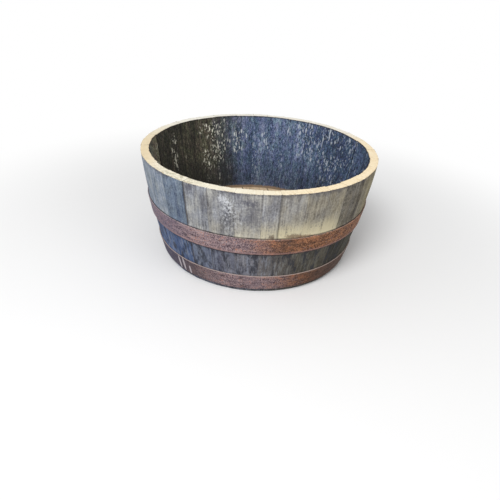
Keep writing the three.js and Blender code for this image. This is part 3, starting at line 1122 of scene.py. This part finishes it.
head = spun([at(0, r, z) for r, z in head_outline()], HEAD_STEPS)
print("head:", len(head.faces), "faces, closed:", is_closed(head))

# %% Bore the drain hole
DRAIN_BOARD = 2
DRAIN_ALONG = -0.070
DRAIN_RADIUS = 0.025
DRAIN_FACETS = 72
DRILL_LENGTH = 0.04
DRAIN_ACROSS = (board_joints[DRAIN_BOARD - 1] + board_joints[DRAIN_BOARD]) / 2
DRAIN = ACROSS * DRAIN_ACROSS + RUN * DRAIN_ALONG


def bored(shape):
    """The shape with the drain hole cut through it by a Boolean modifier."""
    drill = bmesh.new()
    bmesh.ops.create_cone(
        drill, cap_ends=True, segments=DRAIN_FACETS, radius1=DRAIN_RADIUS,
        radius2=DRAIN_RADIUS, depth=DRILL_LENGTH,
        matrix=Matrix.Translation(DRAIN + Vector((0, 0, FLOOR_MIDDLE))))
    solids = []
    for name, solid in (("board", shape), ("drill", drill)):
        mesh = bpy.data.meshes.new(name)
        solid.to_mesh(mesh)
        solid.free()
        solids.append(bpy.data.objects.new(name, mesh))
        bpy.context.scene.collection.objects.link(solids[-1])
    board, drill = solids
    cut = board.modifiers.new("drain", "BOOLEAN")
    cut.object = drill
    cut.solver = "EXACT"
    result = bmesh.new()
    result.from_object(board, bpy.context.evaluated_depsgraph_get())
    for solid in solids:
        bpy.data.objects.remove(solid)
    return result


print("drain hole at", [round(side, 4) for side in DRAIN])

# %% [markdown]
# ### Floor oak
#
# Years of whiskey, soot and dust have turned the head a dark olive brown. Pale crumbs of
# sawdust lie on it, and a ring along the wall, where nothing rubbed soot in, is still tan.

# %% Floor oak
def along_boards(finish, across, along, up=0.0):
    """Places for a texture whose grain runs along the boards, in cells to the metre."""
    sides = []
    for direction, scale in ((ACROSS, across), (RUN, along)):
        part = finish.times(finish.x, direction.x * scale)
        sides.append(finish.plus(part, finish.y, direction.y * scale))
    rise = finish.plus(finish.times(finish.tone, 17.0), finish.z, up)
    return finish.add("CombineXYZ", *sides, rise).outputs[0]


def floor_oak():
    oak = Finish("floor_oak")
    grain = oak.noise(along_boards(oak, 260, 9), 4, 0.6)
    cloud = oak.noise(along_boards(oak, 22, 14), 4, 0.6)
    dust = oak.noise(along_boards(oak, 300, 280), 3, 0.7)
    level = oak.stacked(0.5, (grain, 0.8), (cloud, 1.0), (dust, 0.7))
    color = oak.shades(level, (34, 30, 22), (74, 69, 54), (126, 118, 94))
    crumbs = oak.flecks(along_boards(oak, 120, 70), (0.62, 0.7), (0.34, 0.18))
    crumbs = oak.times(crumbs, oak.ease(cloud, 0.40, 0.62))
    color = oak.coat(color, (184, 172, 138), crumbs, 0.85)
    raw = oak.shades(level, (132, 108, 82), (222, 194, 158), (232, 212, 182))
    ragged = oak.plus(oak.radius(), cloud, 0.03)
    color = oak.mix(oak.ease(ragged, HEAD_RADIUS - 0.022, HEAD_RADIUS - 0.012), color, raw)
    color = oak.coat(color, (22, 20, 17), oak.ease(oak.painted("edge"), 0.5, 3.0, 0.8, 0.0))
    return oak.finish(color, 0.88, oak.plus(grain, crumbs, 0.8), 0.0012)


floor_finishes = [floor_oak(), stave_finishes[BARE]]
print("floor finishes:", [finish.name for finish in floor_finishes])

# %% Wear and finish the boards
BOARD_SINK = 0.0006
FLOOR_GRAIN = 0.0005
FLOOR_HOLLOW = 0.0010


def wear_board(shape, number):
    """Wears both sides of a board and leaves the tongue and the seat in the croze alone."""
    dice = random.Random(100 + number)
    seed, sink = dice.uniform(0, 50), dice.uniform(0, BOARD_SINK)
    joints = [joint for joint in (number - 1, number) if 0 <= joint < len(board_joints)]
    tone = shape.verts.layers.float.new("tone")
    edge = shape.verts.layers.float.new("edge")
    tongue_share = TONGUE / (FLOOR_TOP - FLOOR_BOTTOM) + 0.02
    for vertex in shape.verts:
        spot = vertex.co
        across, along = spot.dot(ACROSS), spot.dot(RUN)
        grain = noise.noise(Vector((across * 190, along * 7, seed)))
        hollow = noise.noise(Vector((across * 26, along * 9, seed + 5)))
        worn = sink + FLOOR_GRAIN * (0.5 + 0.5 * grain) + FLOOR_HOLLOW * max(0.0, hollow)
        share = (spot.z - FLOOR_MIDDLE) / (FLOOR_TOP - FLOOR_MIDDLE)
        vertex[tone] = seed
        vertex[edge] = min(abs(across - board_joints[joint]) for joint in joints) * 1000
        if abs(share) > tongue_share:
            spot.z -= math.copysign(worn, share)
    for face in shape.faces:
        upright = abs(face.normal.z) < 0.3
        bore = (face.calc_center_median().xy - DRAIN.xy).length < DRAIN_RADIUS + 0.0005
        face.material_index = 1 if upright and bore else 0
    split_big_faces(shape)


def make_board(number):
    shape = sawn_board(head, number)
    if number == DRAIN_BOARD:
        shape = bored(shape)
    wear_board(shape, number)
    piece = as_object(shape, f"oak_{boards[number]}", floor_finishes)
    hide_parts(boards[number])
    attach(piece, "root")
    return piece


oak_boards = [make_board(number) for number in range(len(boards))]
head.free()
print("boards made:", len(oak_boards), "with", faces_of(oak_boards), "faces")

# %% [markdown]
# ### The dowels
#
# The dowels lie hidden in their bores and the frame's solids already have their true shape,
# so they stay. They only need a finish: split oak with a fine straight grain.

# %% Dowel oak
def dowel_oak():
    oak = Finish("dowel_oak")
    grain = oak.noise(along_boards(oak, 30, 900, 900), 3, 0.6)
    color = oak.ramp(
        grain, (0.25, tint(140, 108, 70)), (0.5, tint(178, 144, 100)), (0.8, tint(202, 172, 128)))
    return oak.finish(color, 0.75, grain, 0.0004)


pegs = dowel_oak()
dowels = [node for name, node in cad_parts.items() if name.startswith("dowel")]
for dowel in dowels:
    dowel.data.materials.clear()
    dowel.data.materials.append(pegs)
print("dowels finished:", len(dowels))

# %% [markdown]
# ## The hoops
#
# A hoop is a flat steel strip, rolled to the taper of the barrel and riveted where its ends
# lap. So a flat grid is bent round the tub, with the last stretch climbing onto the first,
# and gets its thickness afterwards. The cooper drives hoops on with a hammer, which leaves
# small nicks along the lower edge, and nothing keeps them perfectly flat.

# %% Measure the hoops
HOOP_THICKNESS = 0.0022
LAP_GAP = 0.0003
LAP_LENGTH = 0.062
JOGGLE_LENGTH = 0.024


class HoopMeasure:
    """A hoop of the frame: its levels, the cone that its inside lies on, and its lap."""

    def __init__(self, name):
        self.name = name
        self.bottom, self.top = (corner.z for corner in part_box(name))
        corners = [vertex.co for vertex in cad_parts[name].data.vertices]
        self.low_radius, self.high_radius = (
            min(corner.xy.length for corner in corners if abs(corner.z - level) < 1e-4)
            for level in (self.bottom, self.top))
        self.rivets = sorted(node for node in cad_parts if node.startswith(name + "_rivet"))
        self.lap = turn_of(sum((middle_of(node) for node in self.rivets), Vector()))
        self.middle_radius = (self.low_radius + self.high_radius) / 2

    def radius_at(self, share):
        return self.low_radius + (self.high_radius - self.low_radius) * share


hoops = [HoopMeasure("quarter_hoop"), HoopMeasure("head_hoop")]
for hoop in hoops:
    print(hoop.name, "lap at", round(math.degrees(hoop.lap)), "degrees, inside radius",
          round(hoop.low_radius, 4), "to", round(hoop.high_radius, 4))

# %% Roll a hoop
HOOP_STEPS = 560
HOOP_ROWS = 12
HOOP_EDGE = 0.0006
CLIPPED_CORNER = 0.008
CLIPPED_RUN = 0.020
WAVE_DEPTH = 0.0003
NICK_DEPTH = 0.0011
NICKED_SHARE = 0.06
PIT_DEPTH = 0.00018


def rolled_strip(hoop):
    """The strip bent round the tub, its outer end over its inner one, with its thickness."""
    lap, joggle = (length / hoop.middle_radius for length in (LAP_LENGTH, JOGGLE_LENGTH))
    sweep = 2 * math.pi + lap
    start = hoop.lap - lap / 2
    shape = bmesh.new()
    bmesh.ops.create_grid(shape, x_segments=HOOP_STEPS, y_segments=HOOP_ROWS, size=0.5)
    for vertex in shape.verts:
        turned = (vertex.co.x + 0.5) * sweep
        to_end = min(turned, sweep - turned) * hoop.middle_radius
        clipped = CLIPPED_CORNER * (1 - smooth(to_end, 0, CLIPPED_RUN))
        share = 0.5 + vertex.co.y * (1 - 2 * clipped / (hoop.top - hoop.bottom))
        climb = smooth(turned, 2 * math.pi - joggle, 2 * math.pi) * (HOOP_THICKNESS + LAP_GAP)
        height = hoop.bottom + (hoop.top - hoop.bottom) * share
        vertex.co = at(start + turned, hoop.radius_at(share) + climb, height)
    bmesh.ops.recalc_face_normals(shape, faces=shape.faces)
    face = shape.faces[:][0]
    inward = face.normal.dot(outward(turn_of(face.calc_center_median()))) < 0
    thickness = HOOP_THICKNESS if inward else -HOOP_THICKNESS
    bmesh.ops.solidify(shape, geom=shape.faces[:], thickness=thickness)
    bmesh.ops.recalc_face_normals(shape, faces=shape.faces)
    return shape


def make_hoop(hoop, finish):
    shape = rolled_strip(hoop)
    corners = [edge for edge in shape.edges if edge.is_manifold and edge.calc_face_angle() > 1]
    bevelled(shape, corners, HOOP_EDGE)
    edge_share = shape.verts.layers.float.new("edge")
    for vertex in shape.verts:
        spot = vertex.co
        share = (spot.z - hoop.bottom) / (hoop.top - hoop.bottom)
        wave = WAVE_DEPTH * noise.noise(spot * 9)
        pits = PIT_DEPTH * max(0.0, noise.noise(spot * 160))
        nick = max(0.0, noise.noise(spot * 55 + Vector((3, 8, 1))) - 0.25)
        nick *= 1 - smooth(share, 0, NICKED_SHARE)
        vertex[edge_share] = share
        direction = outward(turn_of(spot))
        vertex.co = spot - direction * (abs(wave) + pits) + Vector((0, 0, NICK_DEPTH * nick))
    piece = as_object(shape, f"rusted_{hoop.name}", [finish])
    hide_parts(hoop.name)
    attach(piece, "root")
    return piece


# %% [markdown]
# ### Rusty steel
#
# Old hoop iron is covered with a skin of rust that light makes mauve on one side and orange
# on the other, which is painted into its colour, with painted blue light at the left. Scratches
# run along the strip, grains, crusts and blotches lie on it, and soot and chalk have dulled it
# in places. The lower hoop is darkened to both sides with painted shade, its upper edge is
# painted pale, partly worn rust and partly a painted highlight, and three drips of whitewash
# ran down it.

# %% Rusty steel
# Three drips down the lower hoop: degrees, metres, half width, half height
DRIPS = [(-43.4, 0.036, 0.8, 0.022), (-39.8, 0.036, 0.8, 0.022), (-35.6, 0.026, 0.65, 0.014)]
DULL_SPOT = (15.5, 0.158, 6.0, 0.026)


def rusty_steel():
    steel = Finish("rusty_steel")
    scratch = steel.grain((9, 520), 3, 0.6)
    blotch = steel.grain((34, 60), 4, 0.65)
    crust = steel.grain((210, 210), 4, 0.72)
    grains = steel.grain((420, 420), 2, 0.6)
    level = steel.stacked(0.5, (scratch, 1.2), (blotch, 1.5), (crust, 2.0), (grains, 1.8))
    mauve = steel.shades(level, (70, 54, 62), (158, 134, 140), (212, 190, 188))
    orange = steel.shades(level, (46, 26, 16), (136, 89, 60), (212, 156, 114))
    low = steel.math("LESS_THAN", steel.z, HOOP_BOTTOM - 0.03)
    side = steel.plus(steel.stacked(steel.x, (blotch, 0.14)), low, -0.06)
    color = steel.mix(steel.ease(side, -0.055, 0.088), mauve, orange)
    fresh = steel.times(steel.ease(crust, 0.53, 0.62), steel.ease(blotch, 0.44, 0.56))
    color = steel.coat(color, (190, 106, 66), fresh, 0.75)
    chalk = steel.ease(steel.grain((120, 160), 4, 0.75, shuffle=5.0), 0.56, 0.66)
    color = steel.coat(color, (196, 172, 174), chalk, steel.ease(blotch, 0.56, 0.44), 0.5)
    soot = steel.grain((50, 130), 4, 0.7)
    color = steel.coat(color, (56, 42, 44), steel.ease(soot, 0.46, 0.34, 0.0, 0.7))
    # Painted shade: the lower hoop darkens towards both sides
    away = steel.math(
        "MAXIMUM",
        steel.ease(steel.x, 0.06, 0.20, 0.05, 0.85),
        steel.ease(steel.x, -0.04, -0.22, 0.05, 0.90))
    side_shade = steel.mix(steel.ease(steel.x, -0.05, 0.1), tint(44, 34, 36), tint(48, 26, 17))
    color = steel.mix(steel.times(low, away), color, side_shade)
    # Painted blue sky light on the left side of the hoops, palest at the far left edge
    color = steel.coat(color, (84, 84, 118), steel.ease(steel.x, -0.13, -0.24, 0.0, 0.42))
    color = steel.coat(color, (116, 114, 128), steel.ease(steel.x, -0.262, -0.295, 0.0, 0.6))
    color = steel.coat(color, (70, 54, 48), steel.spot(*DULL_SPOT, blotch, 0.6), 0.35)
    edge = steel.painted("edge")
    worn = steel.times(steel.ease(edge, 0.16, 0.06), steel.ease(low, 0.0, 1.0, 0.4, 0.0))
    color = steel.coat(color, (186, 148, 146), worn)
    torn = steel.grain((160, 30), 3, 0.6)
    for drip in DRIPS:
        color = steel.coat(color, (222, 212, 216), steel.spot(*drip, torn, 0.3), 0.9)
    # Pale top edge: partly worn rust, partly a painted highlight where the edge catches light,
    # strongest on the lower hoop
    rubbed_and_highlit = steel.times(steel.ease(edge, 0.955, 0.985), steel.ease(low, 0.0, 1.0, 0.3, 0.75))
    color = steel.coat(color, (184, 166, 158), rubbed_and_highlit)
    rough = steel.ease(level, 0.2, 0.8, 0.85, 0.66)
    return steel.finish(color, rough, steel.plus(crust, scratch, 0.4), 0.0006)


rust = rusty_steel()
rusted_hoops = [make_hoop(hoop, rust) for hoop in hoops]
print("hoops made:", len(rusted_hoops), "with", faces_of(rusted_hoops), "faces")

# %% [markdown]
# ### The rivets
#
# Two rivets close each hoop. A rivet is a turned shape, so its half profile is spun round
# the axis: a shank, and a domed head that the hammer left a little flat and uneven.

# %% Rivets
SHANK_RADIUS = 0.0032
RIVET_RADIUS = 0.007
RIVET_HEIGHT = 0.0028
RIVET_FIT = 0.0003
RIVET_STEPS = 28
DOME_STEPS = 7
HAMMERED = 0.0005


def rivet_outline(grip):
    """(radius, height) pairs: the shank, as long as the grip, and the dome on top."""
    outline = [
        (0, -grip), (SHANK_RADIUS, -grip), (SHANK_RADIUS, RIVET_FIT), (RIVET_RADIUS, RIVET_FIT)]
    for i in range(1, DOME_STEPS + 1):
        turned = i / DOME_STEPS * math.pi / 2
        outline.append((
            RIVET_RADIUS * math.cos(turned), RIVET_FIT + RIVET_HEIGHT * math.sin(turned) * 0.97))
    return outline


def make_rivet(hoop, node):
    grip = 2 * HOOP_THICKNESS + LAP_GAP
    shape = spun([(radius, 0, height) for radius, height in rivet_outline(grip)], RIVET_STEPS)
    tone = shape.verts.layers.float.new("tone")
    for vertex in shape.verts:
        vertex[tone] = 3.0
        if vertex.co.z > RIVET_FIT * 1.5:
            vertex.co.z -= HAMMERED * (0.5 + 0.5 * noise.noise(vertex.co * 400))
    angle = turn_of(middle_of(node))
    lean = math.atan2(hoop.high_radius - hoop.low_radius, hoop.top - hoop.bottom)
    axis = outward(angle) * math.cos(lean) - Vector((0, 0, math.sin(lean)))
    seat = at(angle, hoop.middle_radius + grip, (hoop.bottom + hoop.top) / 2)
    turned = axis.to_track_quat("Z", "Y").to_matrix().to_4x4()
    shape.transform(Matrix.Translation(seat) @ turned)
    piece = as_object(shape, f"rusted_{node}", [rust])
    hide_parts(node)
    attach(piece, "root")
    return piece


rivets = [make_rivet(hoop, node) for hoop in hoops for node in hoop.rivets]
print("rivets made:", len(rivets))

# %% Update the scene
bpy.context.view_layer.update()
